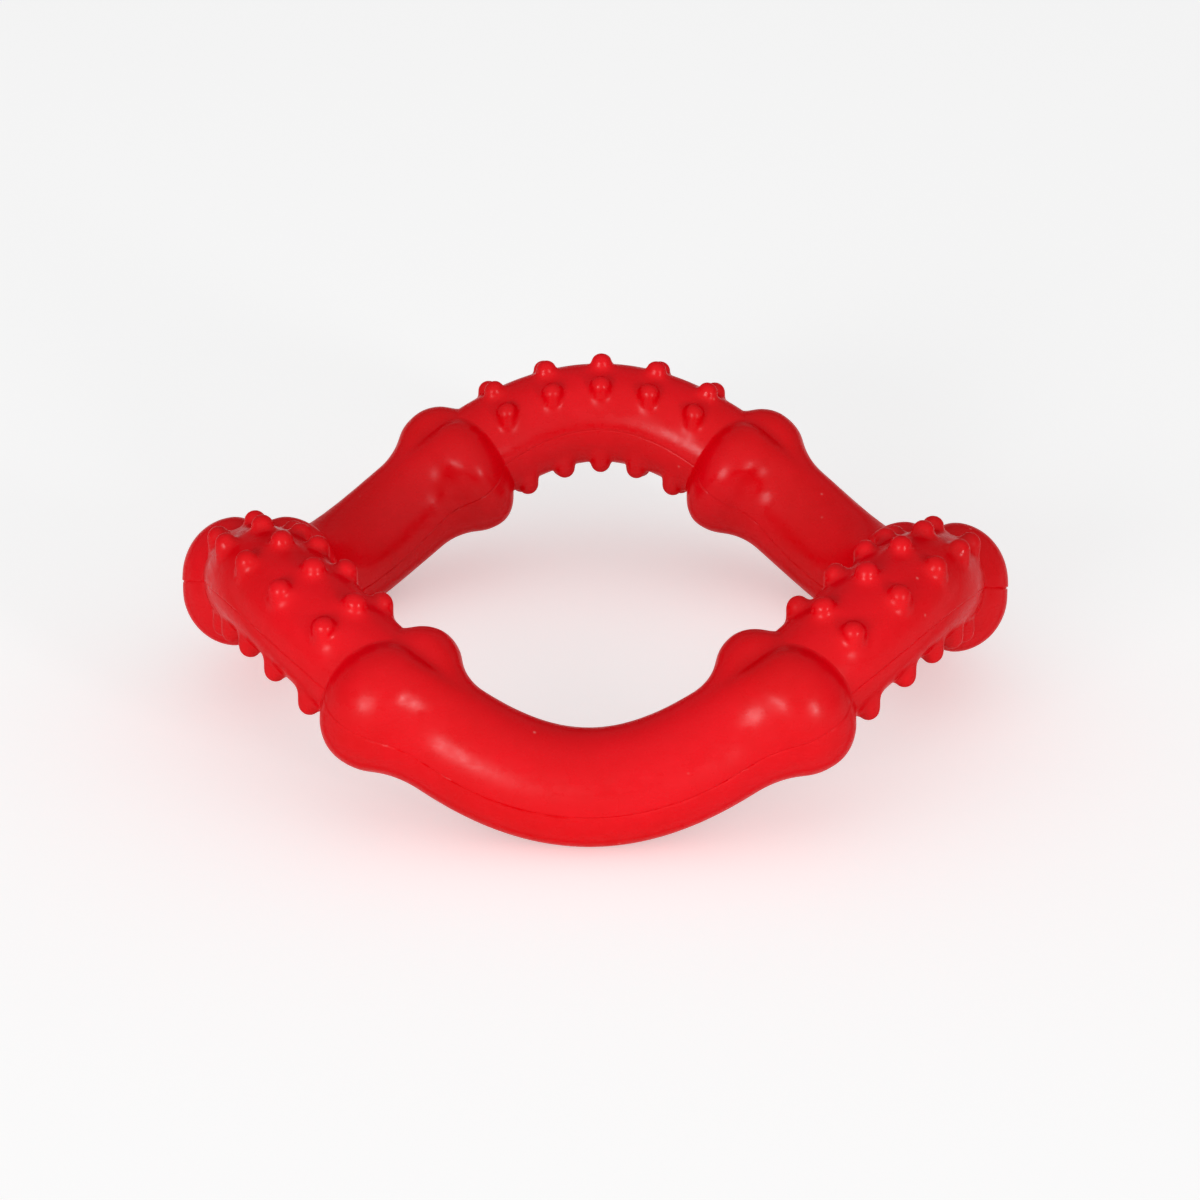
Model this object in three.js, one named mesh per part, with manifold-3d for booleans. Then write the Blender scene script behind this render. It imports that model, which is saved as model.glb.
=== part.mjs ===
// Dog chew ring of red natural rubber: three bones, joined end to end by three studded arcs.
// Millimetres, +Z up. The ring's axis is the Z axis, and the ring lies on the plane z = 0.

import * as THREE from 'three';
import { LoftGeometry } from 'three/addons/geometries/LoftGeometry.js';
import { mergeVertices } from 'three/addons/utils/BufferGeometryUtils.js';
import Module from 'manifold-3d';

// Where the bones and arcs lie, each list in turn around the ring; angles are in degrees
const BONE_PLACES = ['front', 'right', 'left'];
const ARC_PLACES = ['back', 'left', 'right'];
const BACK_ANGLE = 90;

// Centreline: a wavy ring, low along the bones and high over the arcs
const RING_RADIUS = 60;
const OUTLINE_SWELL = 0.6;
const WAVE_HEIGHT = 10.6;

// Bone: an upright oval shaft that swells into a pair of lobes at each end, over a hollow neck
const SHAFT_HALF_WIDTH = 9.2;
const SHAFT_HALF_HEIGHT = 10.1;
const NECK_RADIUS = 11;
const LOBE_BACK_RADIUS = 7.5;
const LOBE_ANGLE = 32.8;
const LOBE_OFFSET = 4.3;
const LOBE_NOSE_LENGTH = 7.9;
const NOSE_JOIN = 1.05;
const REST_FLAT_DEPTH = 0.7;

// Arc: an oval tube whose plain ends seat between the lobes
const ARC_HALF_WIDTH = 9.75;
const ARC_HALF_HEIGHT = 9.6;
const SEAT_PAST_LOBES = 2;
const SEAT_CLEARANCE = 0.3;
const SOCKET_SIDE_WALL = 4.05;
const SOCKET_ROOF_WALL = 1.8;

// Studs: rows of five over the top and the underside of each arc
const STUD_RADIUS = 2.1;
const STUD_HEIGHT = 2.65;
const STUD_TIP_ANGLE = 48;
const STUD_SLANT = 40;
const STUDS_PER_ROW = 5;
const STUD_GAP_TO_LOBES = 3.6;
const STUD_LEAN_SHARE = 0.65;

// Sizes that follow from the ones above
const LOBE_HALF_WIDTH = ARC_HALF_WIDTH + SEAT_CLEARANCE + SOCKET_SIDE_WALL - LOBE_OFFSET;
const LOBE_HALF_HEIGHT = ARC_HALF_HEIGHT + SEAT_CLEARANCE + SOCKET_ROOF_WALL;
const LOBE_RISE = LOBE_OFFSET + LOBE_HALF_WIDTH - SHAFT_HALF_WIDTH;
const MEAN_HEIGHT = WAVE_HEIGHT + SHAFT_HALF_HEIGHT - REST_FLAT_DEPTH;

// Seen from above, the flare is two arcs that meet, each turning by the same angle
const FLARE_BEND = Math.acos(1 - LOBE_RISE / (LOBE_BACK_RADIUS + NECK_RADIUS));
const FLARE_LENGTH = (LOBE_BACK_RADIUS + NECK_RADIUS) * Math.sin(FLARE_BEND);

// Fineness of the faceted surfaces
const BONE_SIDES = 24;
const ARC_SIDES = 20;
const STUD_SIDES = 8;
const SHAFT_STEPS = 6;
const FLARE_STEPS = 6;
const CAP_STEPS = 3;
const SOCKET_STEPS = 3;
const ARC_STEPS = 12;
const MERGE_DISTANCE = 1e-4;

const FULL_TURN = 2 * Math.PI;
const SECTOR = FULL_TURN / BONE_PLACES.length;
const ARC_MIDDLE = THREE.MathUtils.degToRad(BACK_ANGLE);
const BONE_MIDDLE = ARC_MIDDLE + 1.5 * SECTOR;
const LOBE_TURN = THREE.MathUtils.degToRad(LOBE_ANGLE);

const wasm = await Module();
wasm.setup();

// Closed geometry to a solid that can be joined and cut, and back again
function toSolid(geometry) {
  const bare = new THREE.BufferGeometry();
  bare.setAttribute('position', geometry.attributes.position);
  bare.setIndex(geometry.index);
  const merged = mergeVertices(bare, MERGE_DISTANCE);
  const vertProperties = merged.attributes.position.array;
  const triVerts = Uint32Array.from(merged.index.array);
  return new wasm.Manifold(new wasm.Mesh({ numProp: 3, vertProperties, triVerts }));
}

function toGeometry(solid) {
  const mesh = solid.getMesh();
  const geometry = new THREE.BufferGeometry();
  geometry.setAttribute('position', new THREE.BufferAttribute(mesh.vertProperties, 3));
  geometry.setIndex(new THREE.BufferAttribute(mesh.triVerts, 1));
  geometry.computeVertexNormals();
  return geometry;
}

// Point of the centreline at an angle around the ring
function centreline(angle) {
  const lift = Math.cos(BONE_PLACES.length * (angle - ARC_MIDDLE));
  const radius = RING_RADIUS + OUTLINE_SWELL * lift;
  const height = MEAN_HEIGHT + WAVE_HEIGHT * lift;
  return new THREE.Vector3(radius * Math.cos(angle), radius * Math.sin(angle), height);
}

// Upright frame on the centreline; leanShare is how much of its slope the frame takes up
function frameAt(angle, leanShare = 1) {
  const step = 1e-4;
  const along = centreline(angle + step).sub(centreline(angle - step)).divideScalar(2 * step);
  const speed = along.length();
  along.z *= leanShare;
  along.normalize();
  const outward = new THREE.Vector3(Math.cos(angle), Math.sin(angle), 0);
  outward.addScaledVector(along, -outward.dot(along)).normalize();
  const up = new THREE.Vector3().crossVectors(outward, along);
  return { origin: centreline(angle), outward, up, speed };
}

// Distance from the centreline to the edge of two overlapping ovals side by side,
// in the direction that is turned by the given angle from level
function ovalPairRadius(turn, { offset, halfWidth, halfHeight }) {
  const level = Math.abs(Math.cos(turn));
  const rise = Math.sin(turn);
  const bend = (level / halfWidth) ** 2 + (rise / halfHeight) ** 2;
  const shift = offset * level / halfWidth ** 2;
  const inside = 1 - (offset / halfWidth) ** 2;
  return (shift + Math.sqrt(shift ** 2 + bend * inside)) / bend;
}

// One ring of points around the centreline
function sectionRing(angle, section, sides) {
  const frame = frameAt(angle);
  return Array.from({ length: sides }, (_, i) => {
    const turn = -FULL_TURN * i / sides;
    const radius = ovalPairRadius(turn, section);
    return frame.origin.clone()
      .addScaledVector(frame.outward, radius * Math.cos(turn))
      .addScaledVector(frame.up, radius * Math.sin(turn));
  });
}

// Closed solid through sections along the centreline, from stations of angle and section
function loftSolid(stations, sides) {
  const rings = stations.map(({ angle, section }) => sectionRing(angle, section, sides));
  return toSolid(new LoftGeometry(rings, { capStart: true, capEnd: true }));
}

function oval(halfWidth, halfHeight) {
  return { offset: 0, halfWidth, halfHeight };
}

// Plain oval tube between two angles
function tubeSolid(from, to, section, steps) {
  const stations = Array.from({ length: steps + 1 }, (_, i) => {
    return { angle: from + (to - from) * i / steps, section };
  });
  return loftSolid(stations, ARC_SIDES);
}

// Angle that a distance along the centreline takes up beside the lobes' centres
const LOBE_SPEED = frameAt(BONE_MIDDLE + LOBE_TURN).speed;
function turnBesideLobes(distance) {
  return distance / LOBE_SPEED;
}

// Share of the lobes' rise that is left at a distance before their centres
function flareShare(before) {
  if (before < LOBE_BACK_RADIUS * Math.sin(FLARE_BEND)) {
    const drop = LOBE_BACK_RADIUS - Math.sqrt(LOBE_BACK_RADIUS ** 2 - before ** 2);
    return 1 - drop / LOBE_RISE;
  }
  const toShaft = FLARE_LENGTH - before;
  return (NECK_RADIUS - Math.sqrt(NECK_RADIUS ** 2 - toShaft ** 2)) / LOBE_RISE;
}

// Bone section on the flare, at a distance before the lobes' centres
function flareSection(before) {
  const blend = flareShare(before);
  return {
    offset: LOBE_OFFSET * blend,
    halfWidth: THREE.MathUtils.lerp(SHAFT_HALF_WIDTH, LOBE_HALF_WIDTH, blend),
    halfHeight: THREE.MathUtils.lerp(SHAFT_HALF_HEIGHT, LOBE_HALF_HEIGHT, blend),
  };
}

// Sections of half a bone, as turns from its middle: shaft, flare, then the lobes' round noses,
// which stop inside the socket, where the two ovals still overlap by NOSE_JOIN
function halfBoneStations() {
  const stations = [];
  const flareStart = LOBE_TURN - turnBesideLobes(FLARE_LENGTH);
  const shaft = oval(SHAFT_HALF_WIDTH, SHAFT_HALF_HEIGHT);
  for (let i = 0; i < SHAFT_STEPS; i++) {
    stations.push({ turn: flareStart * i / SHAFT_STEPS, section: shaft });
  }
  for (let i = 0; i < FLARE_STEPS; i++) {
    const before = FLARE_LENGTH * (1 - i / FLARE_STEPS);
    stations.push({ turn: LOBE_TURN - turnBesideLobes(before), section: flareSection(before) });
  }
  const capArc = Math.acos(NOSE_JOIN * LOBE_OFFSET / LOBE_HALF_WIDTH);
  for (let i = 0; i <= CAP_STEPS; i++) {
    const arc = capArc * i / CAP_STEPS;
    const section = {
      offset: LOBE_OFFSET,
      halfWidth: LOBE_HALF_WIDTH * Math.cos(arc),
      halfHeight: LOBE_HALF_HEIGHT * Math.cos(arc),
    };
    stations.push({ turn: LOBE_TURN + turnBesideLobes(LOBE_NOSE_LENGTH * Math.sin(arc)), section });
  }
  return stations;
}

// Bone: the lofted body, with a socket cut in each end and a flat where it lies on the ground
function makeBone() {
  const half = halfBoneStations();
  const mirrored = half.slice(1).reverse().map(({ turn, section }) => ({ turn: -turn, section }));
  const stations = [...mirrored, ...half].map(({ turn, section }) => {
    return { angle: BONE_MIDDLE + turn, section };
  });
  let bone = loftSolid(stations, BONE_SIDES);

  const socket = oval(ARC_HALF_WIDTH + SEAT_CLEARANCE, ARC_HALF_HEIGHT + SEAT_CLEARANCE);
  const socketFloor = LOBE_TURN + turnBesideLobes(SEAT_PAST_LOBES);
  const socketMouth = LOBE_TURN + turnBesideLobes(SEAT_PAST_LOBES + LOBE_NOSE_LENGTH);
  bone = bone.subtract(
    tubeSolid(BONE_MIDDLE + socketFloor, BONE_MIDDLE + socketMouth, socket, SOCKET_STEPS));
  bone = bone.subtract(
    tubeSolid(BONE_MIDDLE - socketMouth, BONE_MIDDLE - socketFloor, socket, SOCKET_STEPS));

  const span = 4 * RING_RADIUS;
  const ground = new THREE.BoxGeometry(span, span, MEAN_HEIGHT);
  ground.translate(0, 0, -MEAN_HEIGHT / 2);
  return toGeometry(bone.subtract(toSolid(ground)));
}

// Stud: a post along the Y axis with a round tip, whose centre is at the origin
function studGeometry(rootLength) {
  const tipRise = THREE.MathUtils.degToRad(STUD_TIP_ANGLE);
  const profile = [
    new THREE.Vector2(0, -rootLength),
    new THREE.Vector2(STUD_RADIUS, -rootLength),
    new THREE.Vector2(STUD_RADIUS, 0),
    new THREE.Vector2(STUD_RADIUS * Math.cos(tipRise), STUD_RADIUS * Math.sin(tipRise)),
    new THREE.Vector2(0, STUD_RADIUS),
  ];
  return new THREE.LatheGeometry(profile, STUD_SIDES);
}

// Stud on an arc, its tip turned from level about the centreline. The mould opens straight up and
// down, so each post stands upright and runs down, or up, to the arc's mid-height.
function studSolid(angle, turn, section) {
  const frame = frameAt(angle, STUD_LEAN_SHARE);
  const reach = ovalPairRadius(turn, section) + STUD_HEIGHT - STUD_RADIUS;
  const tip = frame.origin.clone()
    .addScaledVector(frame.outward, reach * Math.cos(turn))
    .addScaledVector(frame.up, reach * Math.sin(turn));
  const stud = studGeometry(Math.abs(tip.z - frame.origin.z));
  stud.rotateX(Math.sign(turn) * FULL_TURN / 4);
  stud.translate(tip.x, tip.y, tip.z);
  return toSolid(stud);
}

// Studded arc: a tube from socket floor to socket floor, with its studs joined on
function makeArc() {
  const section = oval(ARC_HALF_WIDTH, ARC_HALF_HEIGHT);
  const lobesFromMiddle = SECTOR / 2 - LOBE_TURN;
  const halfTurn = lobesFromMiddle - turnBesideLobes(SEAT_PAST_LOBES + SEAT_CLEARANCE);
  let arc = tubeSolid(ARC_MIDDLE - halfTurn, ARC_MIDDLE + halfTurn, section, ARC_STEPS);

  const lastStud = lobesFromMiddle - turnBesideLobes(LOBE_NOSE_LENGTH + STUD_GAP_TO_LOBES);
  const quarter = FULL_TURN / 4;
  const slant = THREE.MathUtils.degToRad(STUD_SLANT);
  for (const upright of [quarter, -quarter]) {
    for (const turn of [upright - slant, upright, upright + slant]) {
      for (let i = 0; i < STUDS_PER_ROW; i++) {
        const share = 2 * i / (STUDS_PER_ROW - 1) - 1;
        arc = arc.add(studSolid(ARC_MIDDLE + lastStud * share, turn, section));
      }
    }
  }
  return toGeometry(arc);
}

// Red natural rubber, semi-gloss
function redRubber() {
  return new THREE.MeshStandardMaterial({ color: 0xdb1619, roughness: 0.4, metalness: 0 });
}

// Adds one copy of a piece at each of its places around the ring
function addAround(group, name, places, geometry) {
  places.forEach((place, i) => {
    const mesh = new THREE.Mesh(geometry, redRubber());
    mesh.name = `${name}_${place}`;
    mesh.rotation.z = SECTOR * i;
    group.add(mesh);
  });
}

const chewRing = new THREE.Group();
addAround(chewRing, 'bone', BONE_PLACES, makeBone());
addAround(chewRing, 'studded_arc', ARC_PLACES, makeArc());

export default chewRing;
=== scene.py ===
# %% [markdown]
# # A red rubber chew ring
#
# The toy is one moulding of solid red rubber: three smooth bone shapes and three studded tubes
# that take turns around a ring. The ring is wavy. Its bones lie on the ground and its tubes arch
# up between them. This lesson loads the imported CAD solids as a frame, models one bone and one
# studded tube as straight pieces, bends them along the ring's wavy line and turns copies of them
# round the ring.

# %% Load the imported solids
import math

import bpy
from mathutils import Matrix, Vector


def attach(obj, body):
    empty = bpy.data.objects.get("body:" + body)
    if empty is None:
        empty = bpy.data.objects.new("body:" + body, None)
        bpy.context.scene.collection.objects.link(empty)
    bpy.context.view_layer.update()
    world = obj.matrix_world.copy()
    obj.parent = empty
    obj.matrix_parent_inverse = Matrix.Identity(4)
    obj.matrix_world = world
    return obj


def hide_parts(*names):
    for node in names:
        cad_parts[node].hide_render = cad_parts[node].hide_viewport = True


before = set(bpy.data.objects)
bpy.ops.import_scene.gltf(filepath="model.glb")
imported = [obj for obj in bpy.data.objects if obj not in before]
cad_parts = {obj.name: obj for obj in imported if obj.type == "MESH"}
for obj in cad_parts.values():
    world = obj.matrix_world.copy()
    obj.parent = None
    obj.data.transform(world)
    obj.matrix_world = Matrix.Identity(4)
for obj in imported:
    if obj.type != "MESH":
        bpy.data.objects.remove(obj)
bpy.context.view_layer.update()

bpy.ops.object.select_all(action="DESELECT")
print("CAD nodes:", sorted(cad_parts))

# %% [markdown]
# ## The camera
#
# The photograph looks down at the ring from the front, about 23 degrees above level, through a
# long lens. The camera looks at a point on the ring's axis at the height of its line. A small
# shift of the lens puts that point a little left of and above the middle of the picture, where
# the photograph has it.

# %% Place the camera
MM = 0.001
MEAN_HEIGHT = 20.0 * MM
VIEW_ELEVATION = math.radians(23.48)
VIEW_AZIMUTH = math.radians(1.22)
VIEW_DISTANCE = 598.2 * MM
SENSOR_WIDTH = 36
LENS_LENGTH = 99.46
LENS_SHIFT = (0.0044, -0.0123)


def direction_to(azimuth, elevation):
    """Direction from the ring to a camera or lamp around it; azimuth 0 is the front."""
    return Vector((
        math.sin(azimuth) * math.cos(elevation),
        -math.cos(azimuth) * math.cos(elevation),
        math.sin(elevation),
    ))


view_back = direction_to(VIEW_AZIMUTH, VIEW_ELEVATION)
view_target = Vector((0, 0, MEAN_HEIGHT))
bpy.ops.object.camera_add(location=view_target + view_back * VIEW_DISTANCE)
camera = bpy.context.active_object
camera.name = "photo_camera"
camera.rotation_euler = view_back.to_track_quat("Z", "Y").to_euler()
camera.data.sensor_width = SENSOR_WIDTH
camera.data.lens = LENS_LENGTH
camera.data.shift_x, camera.data.shift_y = LENS_SHIFT
camera.data.dof.use_dof = False
bpy.context.scene.camera = camera
print("camera at", [round(value, 4) for value in camera.location])

# %% [markdown]
# ## The line of the ring
#
# Every piece follows one closed line. Seen from above it is almost a circle, and its height rises
# and falls three times on the way round: high at the tubes, low at the bones. The same formula
# gives the line in the CAD source. A straight piece is laid along it by a Curve modifier, so the
# helper makes a stretch of the line as a curve object, and another measures its length.

# %% Define the wavy line
RING_RADIUS = 60.0 * MM
OUTLINE_SWELL = 0.6 * MM
WAVE_HEIGHT = 10.6 * MM
WAVES = 3
ARC_MIDDLE = math.radians(90)
BONE_MIDDLE = math.radians(270)
PATH_POINTS = 400


def ring_point(angle):
    """Point of the ring's line at an angle around the Z axis."""
    lift = math.cos(WAVES * (angle - ARC_MIDDLE))
    radius = RING_RADIUS + OUTLINE_SWELL * lift
    height = MEAN_HEIGHT + WAVE_HEIGHT * lift
    return Vector((radius * math.cos(angle), radius * math.sin(angle), height))


def ring_length(start, end):
    """Length of the ring's line between two angles."""
    points = [ring_point(start + (end - start) * i / PATH_POINTS) for i in range(PATH_POINTS + 1)]
    return sum((b - a).length for a, b in zip(points, points[1:]))


def ring_path(name, start, end):
    """Stretch of the ring's line as a curve that a Curve modifier can follow."""
    line = bpy.data.curves.new(name, "CURVE")
    line.dimensions = "3D"
    line.twist_mode = "Z_UP"
    spline = line.splines.new("POLY")
    spline.points.add(PATH_POINTS)
    for i, point in enumerate(spline.points):
        angle = start + (end - start) * i / PATH_POINTS
        point.co = (*ring_point(angle), 1)
    path = bpy.data.objects.new(name, line)
    bpy.context.scene.collection.objects.link(path)
    return path


print("line of the ring, mm round:", round(ring_length(0, math.tau) / MM, 1))

# %% [markdown]
# ## Sizes of a bone
#
# A bone is an oval shaft with two pairs of lobes. Each pair is two ovals side by side, so its
# section has a valley above and below, and the valley is pressed a little deeper than the ovals
# alone make it. The lobes swell from the shaft over a short flare and round off in noses over the
# end of the studded tube. Past the noses, a thin skirt runs on along the tube and sinks into it,
# so that no gap shows. The main sizes are those of the CAD source. The deeper valley, the skirt, the
# fillet and a short upright part of the lobes are added here.

# %% Define the sizes of a bone
SHAFT_HALF_WIDTH = 9.2 * MM
SHAFT_HALF_HEIGHT = 10.1 * MM
LOBE_ANGLE = math.radians(32.8)
LOBE_OFFSET = 4.3 * MM
LOBE_HALF_WIDTH = 9.8 * MM
LOBE_HALF_HEIGHT = 11.7 * MM
LOBE_UPRIGHT = 1.0 * MM
LOBE_NOSE_LENGTH = 7.9 * MM
LOBE_BACK_RADIUS = 7.5 * MM
NECK_RADIUS = 11.0 * MM
ARC_HALF_WIDTH = 9.75 * MM
ARC_HALF_HEIGHT = 9.6 * MM
CREASE_FILLET = 1.0 * MM
VALLEY_ROUNDING = 0.07
VALLEY_DEPTH = 0.9 * MM
VALLEY_HALF_WIDTH = 3.6 * MM
SKIRT_LENGTH = 0.6 * MM
SKIRT_SINK = 0.14 * MM
TUBE_SHRINK = 4 * MM
TUBE_FADE = 6 * MM

LOBE_PLACE = ring_length(BONE_MIDDLE, BONE_MIDDLE + LOBE_ANGLE)
LOBE_RISE = LOBE_OFFSET + LOBE_HALF_WIDTH - SHAFT_HALF_WIDTH
FLARE_TURN = math.acos(1 - LOBE_RISE / (LOBE_BACK_RADIUS + NECK_RADIUS))
FLARE_LENGTH = (LOBE_BACK_RADIUS + NECK_RADIUS) * math.sin(FLARE_TURN)
SKIRT_END = LOBE_PLACE + LOBE_NOSE_LENGTH + SKIRT_LENGTH
print("lobes lie", round(LOBE_PLACE / MM, 2), "mm from a bone's middle")
print("flare is", round(FLARE_LENGTH / MM, 2), "mm long")

# %% [markdown]
# ## Section of a bone
#
# A block could be sculpted into a bone by eye, but then it would not match the solid. So the
# section at each place along the bone is written as a formula: a radius for each direction around
# the line. Seen from above, the flare is two arcs that meet, one round the back of the lobes and
# one hollow at the neck. Where the noses meet the tube, the larger of the two radii counts, with
# a small fillet between them.

# %% Write the section as a radius
ALMOST_ZERO = 0.0001


def oval_radius(turn, half_width, half_height):
    """Radius of one oval about the line, in the direction of turn."""
    return 1 / math.hypot(math.cos(turn) / half_width, math.sin(turn) / half_height)


def oval_pair_radius(turn, offset, half_width, half_round, upright):
    """Radius of two ovals side by side, each stretched upright by a straight part."""
    level = math.hypot(math.cos(turn), VALLEY_ROUNDING * offset / LOBE_OFFSET)
    rise = abs(math.sin(turn))
    side = (offset + half_width) / max(level, ALMOST_ZERO)
    if side * rise <= upright:
        return side
    bend = (level / half_width) ** 2 + (rise / half_round) ** 2
    shift = offset * level / half_width ** 2 + upright * rise / half_round ** 2
    outside = (offset / half_width) ** 2 + (upright / half_round) ** 2 - 1
    within = shift ** 2 - bend * outside
    return (shift + math.sqrt(within)) / bend if within > 0 else 0


def flare_share(before):
    """How much of the lobes' rise is left at a distance before the lobes: two arcs that meet."""
    if before < LOBE_BACK_RADIUS * math.sin(FLARE_TURN):
        drop = LOBE_BACK_RADIUS - math.sqrt(LOBE_BACK_RADIUS ** 2 - before ** 2)
        return 1 - drop / LOBE_RISE
    to_shaft = max(FLARE_LENGTH - before, 0)
    return (NECK_RADIUS - math.sqrt(NECK_RADIUS ** 2 - to_shaft ** 2)) / LOBE_RISE


def smooth_step(value, low, high):
    """Rise from 0 at low to 1 at high, level at both ends."""
    share = min(max((value - low) / (high - low), 0), 1)
    return share * share * (3 - 2 * share)


def smooth_larger(a, b, fillet):
    """The larger of two radii, with a fillet where they are nearly equal."""
    nearness = max(fillet - abs(a - b), 0) / fillet
    return max(a, b) + nearness ** 2 * fillet / 4


def bone_radius(place, turn):
    """Radius of a bone at a place along it, measured from its middle."""
    past = place - LOBE_PLACE
    tube = oval_radius(turn, ARC_HALF_WIDTH, ARC_HALF_HEIGHT)
    valley = 1 - smooth_step(abs(math.cos(turn)) * LOBE_HALF_HEIGHT, 0, VALLEY_HALF_WIDTH)
    valley *= VALLEY_DEPTH
    if past > 0:
        valley *= 1 - smooth_step(past, 0, LOBE_NOSE_LENGTH)
        slice_size = math.sqrt(max(1 - (past / LOBE_NOSE_LENGTH) ** 2, ALMOST_ZERO))
        lobes = oval_pair_radius(
            turn, LOBE_OFFSET, LOBE_HALF_WIDTH * slice_size,
            (LOBE_HALF_HEIGHT - LOBE_UPRIGHT) * slice_size, LOBE_UPRIGHT)
        tube -= SKIRT_SINK * smooth_step(past, 0, SKIRT_END - LOBE_PLACE)
    else:
        share = flare_share(-past)
        half_width = SHAFT_HALF_WIDTH + share * (LOBE_HALF_WIDTH - SHAFT_HALF_WIDTH)
        half_height = SHAFT_HALF_HEIGHT + share * (LOBE_HALF_HEIGHT - SHAFT_HALF_HEIGHT)
        upright = share * LOBE_UPRIGHT
        lobes = oval_pair_radius(
            turn, share * LOBE_OFFSET, half_width, half_height - upright, upright)
        valley *= share
        tube -= TUBE_SHRINK * smooth_step(-past, 0, TUBE_FADE)
    return smooth_larger(lobes - valley, tube, CREASE_FILLET)


print("half width at the lobes, mm:", round(bone_radius(LOBE_PLACE, 0) / MM, 2))

# %% [markdown]
# ## Blank of a bone
#
# The blank is an open cylinder along the X axis. Bisect cuts it into rings, far apart on the
# shaft and close together on the flare and the noses, where the shape turns fast. Then every
# vertex goes out to the radius of its own place and direction. Outwards on the ring is -Y here.
# Extruding ring by ring would give the same blank with many more steps.

# %% Cut the blank into rings and shape it
BONE_SIDES = 40
SHAFT_RINGS = 6
LOBE_RINGS = 28
CUT_EXACTNESS = 0.0001 * MM


def deselect_all():
    """Nothing selected and nothing active, ready for the next operator."""
    bpy.ops.object.select_all(action="DESELECT")
    bpy.context.view_layer.objects.active = None


def make_active(piece):
    """Select one piece alone and make it active."""
    deselect_all()
    piece.select_set(True)
    bpy.context.view_layer.objects.active = piece


def apply_modifier(piece, modifier):
    """Apply one modifier to its piece."""
    make_active(piece)
    bpy.ops.object.modifier_apply(modifier=modifier.name)


def steps_between(start, end, count):
    """Evenly spaced places after start, up to and including end."""
    return [start + (end - start) * (i + 1) / count for i in range(count)]


flare_start = LOBE_PLACE - FLARE_LENGTH
half_places = steps_between(0, flare_start, SHAFT_RINGS)
half_places += steps_between(flare_start, SKIRT_END, LOBE_RINGS)[:-1]
ring_places = [0] + half_places + [-place for place in half_places]

deselect_all()
bpy.ops.mesh.primitive_cylinder_add(
    vertices=BONE_SIDES, radius=SHAFT_HALF_HEIGHT, depth=2 * SKIRT_END,
    end_fill_type="NOTHING", rotation=(0, math.radians(90), 0))
bone = bpy.context.active_object
bone.name = "bone_front_rubber"
bpy.ops.object.transform_apply(location=False, rotation=True, scale=False)
bpy.ops.object.mode_set(mode="EDIT")
for place in ring_places:
    bpy.ops.mesh.select_all(action="SELECT")
    bpy.ops.mesh.bisect(plane_co=(place, 0, 0), plane_no=(1, 0, 0), threshold=CUT_EXACTNESS)
bpy.ops.object.mode_set(mode="OBJECT")
for vertex in bone.data.vertices:
    x, y, z = vertex.co
    turn = math.atan2(z, -y)
    radius = bone_radius(abs(x), turn)
    vertex.co = (x, -radius * math.cos(turn), radius * math.sin(turn))
print("bone blank:", len(bone.data.polygons), "faces in", len(ring_places) + 2, "rings")

# %% [markdown]
# ## Smooth surface and parting line
#
# A Subdivision Surface modifier rounds the blank. The real toy came out of a mould of two halves,
# and the halves never meet perfectly. A fine groove runs along the outside and the inside, and
# below it a ledge, where the upper half stands a little proud of the lower. It could be a bump,
# but it shows at the outline too, so it is cut: three bisects along the bone give the groove its
# edges and its bottom, and the rubber below is pressed in and eases back further down.
#
# On the shaft the line dips below mid height. A bisect cuts only a flat plane, so the piece is
# lifted by the dip first, cut, pressed and lowered again. The groove is plainer on one half.

# %% Round the bone and press its parting line
GROOVE_WIDTH = 0.55 * MM
GROOVE_DEPTH = 0.35 * MM
LEDGE_DEPTH = 0.12 * MM
LEDGE_EASE = 4.5 * MM
PARTING_DROP = 1.2 * MM
DROP_LEVEL_TO = 14 * MM
SIDE_BLEND = 4 * MM
GROOVE_LOSS = 0.5
GROOVE_FADE_FROM = -5 * MM
GROOVE_FADE_TO = 10 * MM


def round_off(piece, levels):
    """Subdivide a piece into a smooth surface."""
    rounding = piece.modifiers.new("rounding", "SUBSURF")
    rounding.levels = levels
    rounding.render_levels = levels
    apply_modifier(piece, rounding)


def lift_by_drop(piece, drop):
    """Lift each vertex by the drop of the parting line at its place along the piece."""
    for vertex in piece.data.vertices:
        vertex.co.z += drop(vertex.co.x)


def press_parting_line(piece, drop, strength):
    """Cut a straight piece along its parting line and press a groove and a ledge into it."""
    lift_by_drop(piece, drop)
    make_active(piece)
    bpy.ops.object.mode_set(mode="EDIT")
    for height in (GROOVE_WIDTH / 2, 0, -GROOVE_WIDTH / 2):
        bpy.ops.mesh.select_all(action="SELECT")
        bpy.ops.mesh.bisect(
            plane_co=(0, 0, height), plane_no=(0, 0, 1), threshold=CUT_EXACTNESS)
    bpy.ops.object.mode_set(mode="OBJECT")
    for vertex in piece.data.vertices:
        x, y, z = vertex.co
        groove = max(1 - 2 * abs(z) / GROOVE_WIDTH, 0) * GROOVE_DEPTH * strength(x)
        ledge = LEDGE_DEPTH * (1 - smooth_step(-z, 0, LEDGE_EASE)) if z < 0 else 0
        side = max(-1, min(y / SIDE_BLEND, 1))
        vertex.co.y -= side * (groove + ledge)
    lift_by_drop(piece, lambda x: -drop(x))


def bone_parting_drop(x):
    """How far the parting line runs below mid height along a bone."""
    return PARTING_DROP * (1 - smooth_step(abs(x), DROP_LEVEL_TO, LOBE_PLACE))


def bone_groove_strength(x):
    """The groove is plain on one half of a bone and faint on the other."""
    return 1 - GROOVE_LOSS * smooth_step(x, GROOVE_FADE_FROM, GROOVE_FADE_TO)


round_off(bone, 2)
press_parting_line(bone, bone_parting_drop, bone_groove_strength)
print("bone after rounding:", len(bone.data.polygons), "faces")

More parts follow.
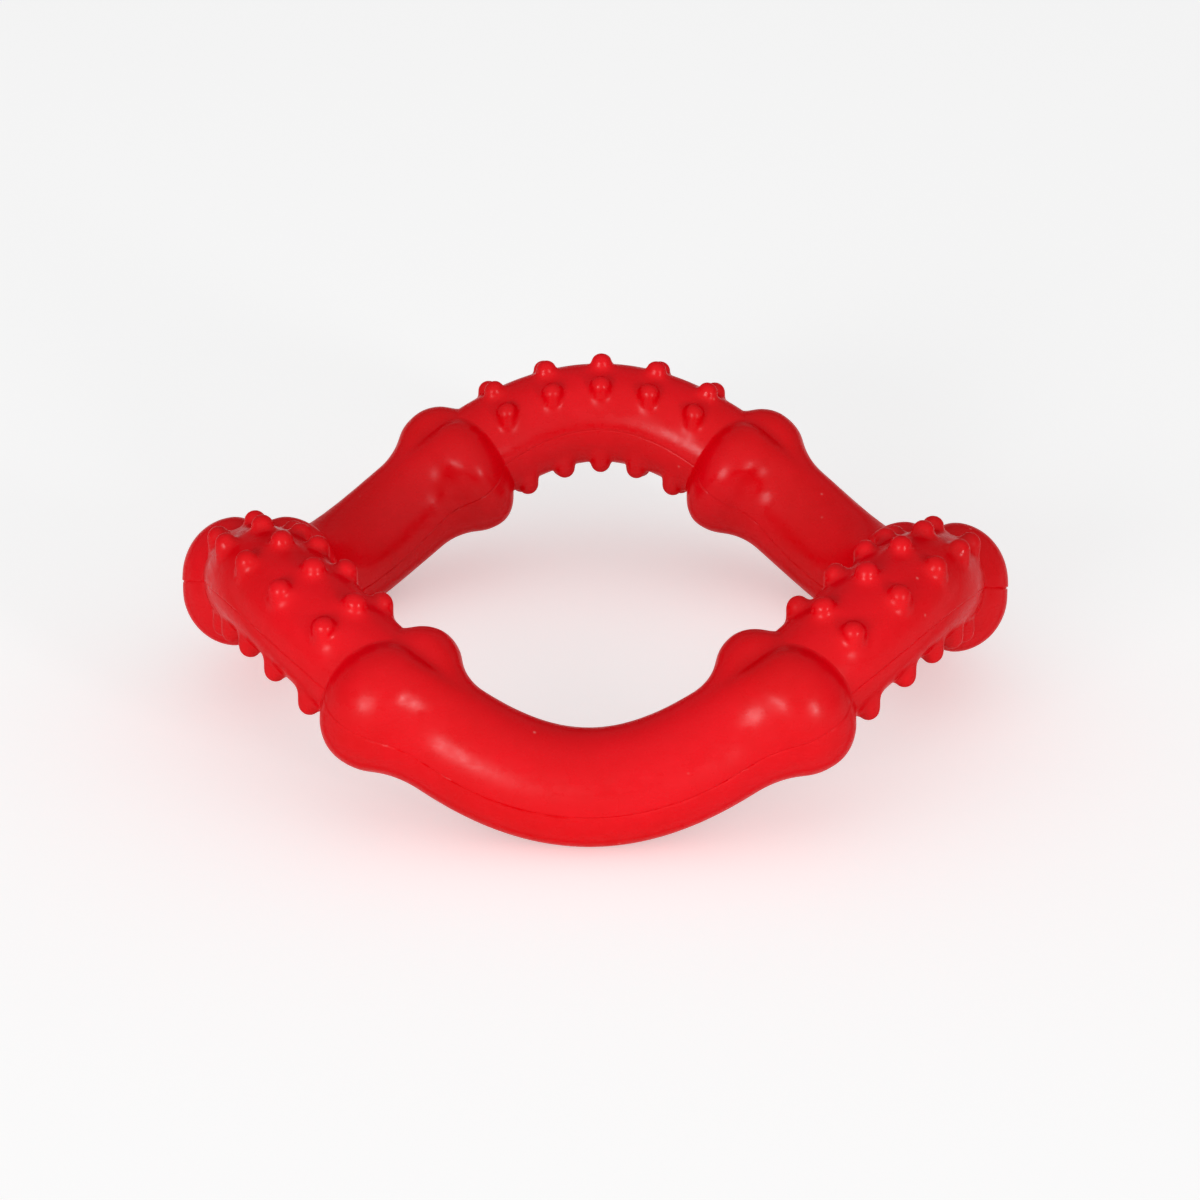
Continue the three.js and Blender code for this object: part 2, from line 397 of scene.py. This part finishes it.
# %% [markdown]
# ## Bend the bone along the ring
#
# The two open ends are closed by fill_holes. They end up inside the studded tubes. The bone moves
# along X until it starts at zero, because a Curve modifier lays X = 0 on the start of its curve.
# After the bend, the bone reaches about 0.7 mm below the ground. Real rubber is flattened there by
# the weight of the toy, so a bisect at Z = 0 cuts a small flat to rest on.

# %% Bend, cut the resting flat and smooth the shading
FIRST_HALF_TURN = math.radians(30)
FIT_ROUNDS = 12
BONE_CREASE = math.radians(35)


def close_ends(piece):
    """Fill the open ends of a piece."""
    make_active(piece)
    bpy.ops.object.mode_set(mode="EDIT")
    bpy.ops.mesh.select_all(action="SELECT")
    bpy.ops.mesh.fill_holes(sides=0)
    bpy.ops.mesh.select_all(action="SELECT")
    bpy.ops.mesh.normals_make_consistent(inside=False)
    bpy.ops.object.mode_set(mode="OBJECT")


def bend_along_ring(piece, middle, half_length):
    """Lay a straight piece along the ring's line, its middle at an angle around the ring."""
    half_turn = FIRST_HALF_TURN
    for _ in range(FIT_ROUNDS):
        half_turn *= half_length / ring_length(middle, middle + half_turn)
    path = ring_path("bending_line", middle - half_turn, middle + half_turn)
    make_active(piece)
    bpy.ops.object.mode_set(mode="EDIT")
    bpy.ops.mesh.select_all(action="SELECT")
    bpy.ops.transform.translate(value=(half_length, 0, 0))
    bpy.ops.object.mode_set(mode="OBJECT")
    bend = piece.modifiers.new("bend", "CURVE")
    bend.object = path
    bend.deform_axis = "POS_X"
    apply_modifier(piece, bend)
    bpy.data.objects.remove(path)


close_ends(bone)
bend_along_ring(bone, BONE_MIDDLE, SKIRT_END)
make_active(bone)
bpy.ops.object.mode_set(mode="EDIT")
bpy.ops.mesh.select_all(action="SELECT")
bpy.ops.mesh.bisect(
    plane_co=(0, 0, 0), plane_no=(0, 0, 1), clear_inner=True, use_fill=True,
    threshold=CUT_EXACTNESS)
bpy.ops.object.mode_set(mode="OBJECT")
bpy.ops.object.shade_smooth_by_angle(angle=BONE_CREASE)


def piece_box(piece):
    """Lowest and highest corner of a piece, in millimetres."""
    corners = list(zip(*(vertex.co for vertex in piece.data.vertices)))
    return [(round(min(axis) / MM, 2), round(max(axis) / MM, 2)) for axis in corners]


print("bone in mm:", piece_box(bone))

# %% [markdown]
# ## A studded tube
#
# The tube is a plain oval cylinder. Its studs are small posts with round tips. The mould opens
# straight up and down, so every post stands upright in the world, also on the slopes of the tube,
# and each one runs on into the rubber with straight sides. One stud is made from a sphere whose
# lower half is extruded. Its faces are selected by their normals, in face select mode.

# %% Make one stud
STUD_RADIUS = 2.1 * MM
STUD_ROOT = 4.5 * MM
FACING_DOWN = -0.01

deselect_all()
bpy.ops.mesh.primitive_uv_sphere_add(segments=24, ring_count=12, radius=STUD_RADIUS)
stud = bpy.context.active_object
bpy.ops.object.mode_set(mode="EDIT")
bpy.ops.mesh.select_mode(type="FACE")
bpy.ops.object.mode_set(mode="OBJECT")
for polygon in stud.data.polygons:
    polygon.select = polygon.normal.z < FACING_DOWN
bpy.ops.object.mode_set(mode="EDIT")
bpy.ops.mesh.extrude_region_move(TRANSFORM_OT_translate={"value": (0, 0, -STUD_ROOT)})
bpy.ops.object.mode_set(mode="OBJECT")
print("stud in mm:", piece_box(stud))

# %% [markdown]
# ## Six rows of studs
#
# The stud is copied into six rows of five, three above and three below. They could be instances
# from geometry nodes, but each needs a place and a tilt of its own, so a matrix is made for each.
#
# The tube is still straight here. The bend will stretch what stands above a hump and squeeze what
# hangs below it, so each stud is first squeezed or stretched by the same share the other way, and
# tilted so that the bend sets it upright.

# %% Set the studs on a straight tube
STUD_HEIGHT = 2.65 * MM
STUD_SLANT = math.radians(40)
STUDS_PER_ROW = 5
STUD_GAP_TO_LOBES = 3.6 * MM
STUD_LEAN_SHARE = 0.65
TUBE_SIDES = 128
TUBE_END_BEFORE_LOBES = 3 * MM
SMALL_TURN = 0.001


def ring_frame(angle):
    """Point, directions along, outwards and up, and bend of the line, at an angle."""
    small = math.radians(0.1)
    before, here, after = (ring_point(angle + step) for step in (-small, 0, small))
    speed = (after - before).length / (2 * small)
    along = (after - before).normalized()
    outward = along.cross(Vector((0, 0, 1))).normalized()
    up = outward.cross(along)
    curvature = (after - 2 * here + before) / (small * speed) ** 2
    return here, along, outward, up, curvature


lobe_turn = BONE_MIDDLE + LOBE_ANGLE
LOBE_SPEED = ring_length(lobe_turn - SMALL_TURN, lobe_turn + SMALL_TURN) / (2 * SMALL_TURN)
lobes_from_middle = math.pi / WAVES - LOBE_ANGLE
last_stud = lobes_from_middle - (LOBE_NOSE_LENGTH + STUD_GAP_TO_LOBES) / LOBE_SPEED
ARC_HALF_LENGTH = ring_length(ARC_MIDDLE, ARC_MIDDLE + lobes_from_middle)
ARC_HALF_LENGTH -= TUBE_END_BEFORE_LOBES


def stud_matrix(angle, turn):
    """Place of a stud on the straight tube, from its place on the bent one."""
    here, along, outward, up, curvature = ring_frame(angle)
    lean = Vector((along.x, along.y, along.z * STUD_LEAN_SHARE)).normalized()
    lean_up = outward.cross(lean)
    radius = oval_radius(turn, ARC_HALF_WIDTH, ARC_HALF_HEIGHT)
    reach = radius + STUD_HEIGHT - STUD_RADIUS
    tip = outward * reach * math.cos(turn) + lean_up * reach * math.sin(turn)
    stretch = 1 - curvature.dot(tip)
    length = math.copysign(ring_length(ARC_MIDDLE, angle), angle - ARC_MIDDLE)
    place = Vector((length + tip.dot(along) / stretch, -tip.dot(outward), tip.dot(up)))
    tilt = math.atan2(along.z, up.z)
    flip = 0 if turn > 0 else math.pi
    return (Matrix.Translation(place) @ Matrix.Diagonal((1 / stretch, 1, 1, 1))
            @ Matrix.Rotation(tilt, 4, "Y") @ Matrix.Rotation(flip, 4, "X"))


deselect_all()
bpy.ops.mesh.primitive_cylinder_add(
    vertices=TUBE_SIDES, radius=1, depth=2 * ARC_HALF_LENGTH, rotation=(0, math.radians(90), 0))
arc = bpy.context.active_object
arc.name = "studded_arc_back_rubber"
bpy.ops.object.transform_apply(location=False, rotation=True, scale=False)
bpy.ops.object.mode_set(mode="EDIT")
bpy.ops.mesh.select_all(action="SELECT")
bpy.ops.transform.resize(value=(1, ARC_HALF_WIDTH, ARC_HALF_HEIGHT))
bpy.ops.object.mode_set(mode="OBJECT")

studs = []
for upright in (math.radians(90), math.radians(-90)):
    for turn in (upright - STUD_SLANT, upright, upright + STUD_SLANT):
        for i in range(STUDS_PER_ROW):
            share = 2 * i / (STUDS_PER_ROW - 1) - 1
            copy = bpy.data.objects.new("stud_copy", stud.data.copy())
            copy.data.transform(stud_matrix(ARC_MIDDLE + last_stud * share, turn))
            bpy.context.scene.collection.objects.link(copy)
            studs.append(copy)
bpy.data.objects.remove(stud)
print(len(studs), "studs on a tube", round(2 * ARC_HALF_LENGTH / MM, 1), "mm long")

# %% [markdown]
# ## Fuse the studs with their tube
#
# The studs and the tube are one piece of rubber, so they are joined and remeshed into one skin. A
# Boolean would fuse them too, but it leaves sharp corners and long thin faces. A Smooth modifier
# then wears the corner at each foot into a small fillet. A vertex group spares the tips, which
# would shrink. The parting line comes after that, because the remesh would swallow it, and the
# bend comes last.

# %% Fuse, soften, press the parting line and bend
FUSE_VOXEL = 0.3 * MM
FOOT_TOP = 0.3 * MM
TIP_FROM = 1.6 * MM
TIP_SPARED = 0.75
SOFTEN_ROUNDS = 80
TUBE_GROOVE = 0.4
TUBE_CREASE = math.radians(40)

make_active(arc)
for copy in studs:
    copy.select_set(True)
bpy.ops.object.join()
fuse = arc.modifiers.new("fuse", "REMESH")
fuse.mode = "VOXEL"
fuse.voxel_size = FUSE_VOXEL
apply_modifier(arc, fuse)
feet = arc.vertex_groups.new(name="stud_feet")
for vertex in arc.data.vertices:
    turn = math.atan2(vertex.co.z, -vertex.co.y)
    height = math.hypot(vertex.co.y, vertex.co.z)
    height -= oval_radius(turn, ARC_HALF_WIDTH, ARC_HALF_HEIGHT)
    softening = 1 - TIP_SPARED * smooth_step(height, FOOT_TOP, TIP_FROM)
    feet.add([vertex.index], softening, "REPLACE")
soften = arc.modifiers.new("soften", "SMOOTH")
soften.vertex_group = feet.name
soften.factor = 0.5
soften.iterations = SOFTEN_ROUNDS
apply_modifier(arc, soften)
press_parting_line(arc, lambda x: 0, lambda x: TUBE_GROOVE)
bend_along_ring(arc, ARC_MIDDLE, ARC_HALF_LENGTH)
make_active(arc)
bpy.ops.object.shade_smooth_by_angle(angle=TUBE_CREASE)
print("arc:", len(arc.data.polygons), "faces, in mm:", piece_box(arc))

# %% [markdown]
# ## Turn copies round the ring
#
# The ring repeats every third of a turn. An Array modifier could repeat the pieces, but each has to
# be an object of its own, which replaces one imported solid. Each copy has its own mesh, turned in
# the mesh, so that every object stays at the origin.

# %% Copy the bone and the tube
SECTOR = 360 / WAVES


def turned_copy(piece, name, degrees):
    """Copy of a piece with its own mesh, turned about the ring's axis."""
    copy = piece.copy()
    copy.data = piece.data.copy()
    copy.name = name
    copy.data.transform(Matrix.Rotation(math.radians(degrees), 4, "Z"))
    bpy.context.scene.collection.objects.link(copy)
    return copy


pieces = {
    "bone_front": bone,
    "bone_right": turned_copy(bone, "bone_right_rubber", SECTOR),
    "bone_left": turned_copy(bone, "bone_left_rubber", 2 * SECTOR),
    "studded_arc_back": arc,
    "studded_arc_left": turned_copy(arc, "studded_arc_left_rubber", SECTOR),
    "studded_arc_right": turned_copy(arc, "studded_arc_right_rubber", 2 * SECTOR),
}
print("pieces:", [piece.name for piece in pieces.values()])

# %% [markdown]
# ## Nodes for the rubber
#
# Painted textures would need a UV map on every piece, so noise nodes on the Object coordinates
# make the rubber's patterns instead. All pieces sit at the origin, so a pattern runs on from piece
# to piece, as in one moulding. A few helpers add the nodes and link them.

# %% Start the rubber and its helpers
rubber = bpy.data.materials.new("red_natural_rubber")
rubber.use_nodes = True
nodes = rubber.node_tree.nodes
links = rubber.node_tree.links
skin = nodes["Principled BSDF"]
skin_place = nodes.new("ShaderNodeTexCoord").outputs["Object"]


def noise(size, detail, stretch=(1, 1, 1)):
    """Noise whose clouds are about this size in metres, stretched along the axes."""
    mapping = nodes.new("ShaderNodeMapping")
    mapping.inputs["Scale"].default_value = [1 / (size * factor) for factor in stretch]
    texture = nodes.new("ShaderNodeTexNoise")
    texture.inputs["Scale"].default_value = 1
    texture.inputs["Detail"].default_value = detail
    links.new(skin_place, mapping.inputs["Vector"])
    links.new(mapping.outputs["Vector"], texture.inputs["Vector"])
    return texture.outputs["Fac"]


def spread(value, low, high, start, end):
    """Map a value from one span to another and hold it inside the new one."""
    node = nodes.new("ShaderNodeMapRange")
    node.inputs["From Min"].default_value = low
    node.inputs["From Max"].default_value = high
    node.inputs["To Min"].default_value = start
    node.inputs["To Max"].default_value = end
    links.new(value, node.inputs["Value"])
    return node.outputs["Result"]


def combine(operation, first, second):
    """Combine two values with a Math node."""
    node = nodes.new("ShaderNodeMath")
    node.operation = operation
    links.new(first, node.inputs[0])
    links.new(second, node.inputs[1])
    return node.outputs["Value"]


def mix_colours(share, first, second):
    """Mix two colours, each given as numbers or as a socket."""
    node = nodes.new("ShaderNodeMix")
    node.data_type = "RGBA"
    links.new(share, node.inputs["Factor"])
    for socket, colour in zip((node.inputs[6], node.inputs[7]), (first, second)):
        if isinstance(colour, tuple):
            socket.default_value = colour
        else:
            links.new(colour, socket)
    return node.outputs[2]


print("rubber starts with", len(nodes), "nodes")

# %% [markdown]
# ## Colour of the rubber
#
# Moulded natural rubber is coloured all the way through, but its red is never quite even: it is
# deeper and brighter in clouds a few centimetres wide, where it cured sooner or later, and faintly
# mottled up close. A few pale specks of moulding dust sit in the skin. Large and fine noise mix two
# reds, and a Voronoi texture, of which only some cells are chosen, sets the specks.

# %% Colour the rubber
DEEP_RED = (0.72, 0.0005, 0.003, 1)
BRIGHT_RED = (0.83, 0.0015, 0.008, 1)
SPECK_RED = (0.88, 0.2, 0.18, 1)
CLOUD_SIZE = 26 * MM
MOTTLE_SIZE = 2.4 * MM
SPECK_SPACING = 5 * MM

clouds = spread(noise(CLOUD_SIZE, 3), 0.35, 0.65, 0, 0.7)
mottle = spread(noise(MOTTLE_SIZE, 4), 0.3, 0.7, 0, 0.3)
red = mix_colours(combine("ADD", clouds, mottle), DEEP_RED, BRIGHT_RED)

dust = nodes.new("ShaderNodeTexVoronoi")
dust.inputs["Scale"].default_value = 1 / SPECK_SPACING
links.new(skin_place, dust.inputs["Vector"])
speck = spread(dust.outputs["Distance"], 0.03, 0.07, 1, 0)
chosen = spread(dust.outputs["Color"], 0.55, 0.6, 0, 0.6)
red = mix_colours(combine("MULTIPLY", speck, chosen), red, SPECK_RED)
links.new(red, skin.inputs["Base Color"])
print("colour nodes:", len(nodes))

# %% [markdown]
# ## Gloss and grain of the rubber
#
# The skin has a satin gloss. It is uneven, in small patches and in flat streaks that handling
# leaves, so two noises make the roughness. In the photograph the skin does not turn pale where it
# is seen at a low angle, as a clean gloss would. A fine dry bloom, which natural rubber often
# carries, may be the reason. A single number for the specular level left a pale rim on every top,
# so a Layer Weight node fades it there. The export can't carry the fade and writes an ordinary
# specular level instead, so the exported rubber is glossier.
#
# A moulded surface is never quite true, so a shallow waviness breaks up the highlights, and over it
# lies a very fine grain. Both are far below what a mesh needs to show, so they are bump, while all
# real shapes are in the mesh.

# %% Give the rubber its gloss and grain
GLOSS = 0.225
EDGE_GLOSS = 0.012
WAVE_DEPTH = 0.05 * MM
GRAIN_DEPTH = 0.012 * MM
STREAK_SIZE = 1.2 * MM
STREAK_STRETCH = (9, 9, 1)
PATCH_SIZE = 2 * MM
WAVE_SIZE = 6 * MM
GRAIN_SIZE = 0.7 * MM
STREAK_ROUGHNESS = (-0.05, 0.06)
PATCH_ROUGHNESS = (0.21, 0.36)

streaks = spread(noise(STREAK_SIZE, 2, stretch=STREAK_STRETCH), 0.3, 0.7, *STREAK_ROUGHNESS)
patches = spread(noise(PATCH_SIZE, 3), 0.3, 0.7, *PATCH_ROUGHNESS)
links.new(combine("ADD", streaks, patches), skin.inputs["Roughness"])
facing = nodes.new("ShaderNodeLayerWeight").outputs["Facing"]
links.new(spread(facing, 0.1, 0.6, GLOSS, EDGE_GLOSS), skin.inputs["Specular IOR Level"])


def bump(height, depth, below=None):
    """Raise the surface by a height pattern, over another bump if one is given."""
    node = nodes.new("ShaderNodeBump")
    node.inputs["Distance"].default_value = depth
    links.new(height, node.inputs["Height"])
    if below:
        links.new(below, node.inputs["Normal"])
    return node.outputs["Normal"]


waviness = bump(noise(WAVE_SIZE, 2), WAVE_DEPTH)
grain = bump(noise(GRAIN_SIZE, 3), GRAIN_DEPTH, waviness)
links.new(grain, skin.inputs["Normal"])
print("rubber has", len(nodes), "nodes")

# %% [markdown]
# ## Dress the ring
#
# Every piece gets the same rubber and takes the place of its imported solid. Nothing on the toy
# moves, so all pieces ride on the root.

# %% Put the rubber on the pieces
for node_name, piece in pieces.items():
    piece.data.materials.clear()
    piece.data.materials.append(rubber)
    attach(piece, "root")
    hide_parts(node_name)
print("rubber on", len(pieces), "pieces")

# %% [markdown]
# ## The floor
#
# The ring lies on a large sheet of white paper. Its paleness comes from its own colour, and from a
# little light of its own that only the camera, reflections and clear materials see, so that the
# sheet looks white without more light on the ring. It still shows the ring's soft shadow.

# %% Lay the floor
FLOOR_SIZE = 6
PAPER_WHITE = (0.92, 0.92, 0.92, 1)
PAPER_GLOW = 0.38

deselect_all()
bpy.ops.mesh.primitive_plane_add(size=FLOOR_SIZE)
floor = bpy.context.active_object
floor.name = "pale_floor"
paper = bpy.data.materials.new("white_paper")
paper.use_nodes = True
paper_nodes = paper.node_tree.nodes
paper_links = paper.node_tree.links
paper_skin = paper_nodes["Principled BSDF"]
paper_skin.inputs["Base Color"].default_value = PAPER_WHITE
paper_skin.inputs["Roughness"].default_value = 0.9
paper_skin.inputs["Specular IOR Level"].default_value = 0
paper_skin.inputs["Emission Color"].default_value = (1, 1, 1, 1)

ray = paper_nodes.new("ShaderNodeLightPath")
seen = ray.outputs["Is Camera Ray"]
for kind in ("Is Glossy Ray", "Is Transmission Ray"):
    either = paper_nodes.new("ShaderNodeMath")
    either.operation = "MAXIMUM"
    paper_links.new(seen, either.inputs[0])
    paper_links.new(ray.outputs[kind], either.inputs[1])
    seen = either.outputs["Value"]
glow = paper_nodes.new("ShaderNodeMath")
glow.operation = "MULTIPLY"
glow.inputs[1].default_value = PAPER_GLOW
paper_links.new(seen, glow.inputs[0])
paper_links.new(glow.outputs["Value"], paper_skin.inputs["Emission Strength"])
floor.data.materials.append(paper)
print("floor:", [round(side, 2) for side in floor.dimensions], "m")

# %% [markdown]
# ## The lamps
#
# The photograph shows two soft highlights on each lobe: a broad one from the left and a narrower
# one from the right, both low on the lobe. So a wide softbox stands left of the camera and a
# narrow one right of it, both reaching nearly down to the floor. They stand 2 m away, so that the
# back of the ring gets about as much of their light as the front.

# %% Hang the lamps
LAMP_DISTANCE = 2


def softbox(name, azimuth, elevation, width, height, power):
    """Upright rectangular lamp around the ring, aimed at its middle; sizes in metres and watts."""
    back = direction_to(math.radians(azimuth), math.radians(elevation))
    bpy.ops.object.light_add(type="AREA", location=view_target + back * LAMP_DISTANCE)
    lamp = bpy.context.active_object
    lamp.name = name
    lamp.rotation_euler = back.to_track_quat("Z", "Y").to_euler()
    lamp.data.shape = "RECTANGLE"
    lamp.data.size = width
    lamp.data.size_y = height
    lamp.data.energy = power


softbox("softbox_left", azimuth=-27, elevation=10, width=0.76, height=0.66, power=14.2)
softbox("softbox_right", azimuth=38, elevation=8, width=0.22, height=0.54, power=9.0)

# %% [markdown]
# ## The world
#
# A white room fills in the shadows and lights the tops of the bones. It is brighter in front and
# above than behind, because its back wall mirrors in the tops at a low angle and would make them
# pale. A dot product with the brightest direction gives the share of each.

# %% Light the room
FRONT_WALL = 0.65
BACK_WALL = 0.4
BRIGHTEST = (0, -0.8, 0.6)

world = bpy.data.worlds.new("studio")
world.use_nodes = True
room_nodes = world.node_tree.nodes
room_links = world.node_tree.links
background = room_nodes["Background"]
background.inputs["Color"].default_value = (1, 1, 1, 1)
direction = room_nodes.new("ShaderNodeTexCoord").outputs["Generated"]
toward = room_nodes.new("ShaderNodeVectorMath")
toward.operation = "DOT_PRODUCT"
toward.inputs[1].default_value = BRIGHTEST
wall = room_nodes.new("ShaderNodeMapRange")
wall.inputs["From Min"].default_value = 0
wall.inputs["From Max"].default_value = 1
wall.inputs["To Min"].default_value = BACK_WALL
wall.inputs["To Max"].default_value = FRONT_WALL
room_links.new(direction, toward.inputs[0])
room_links.new(toward.outputs["Value"], wall.inputs["Value"])
room_links.new(wall.outputs["Result"], background.inputs["Strength"])
bpy.context.scene.world = world
bpy.context.scene.view_settings.view_transform = "Standard"
print("room strength from", BACK_WALL, "behind to", FRONT_WALL, "in front")
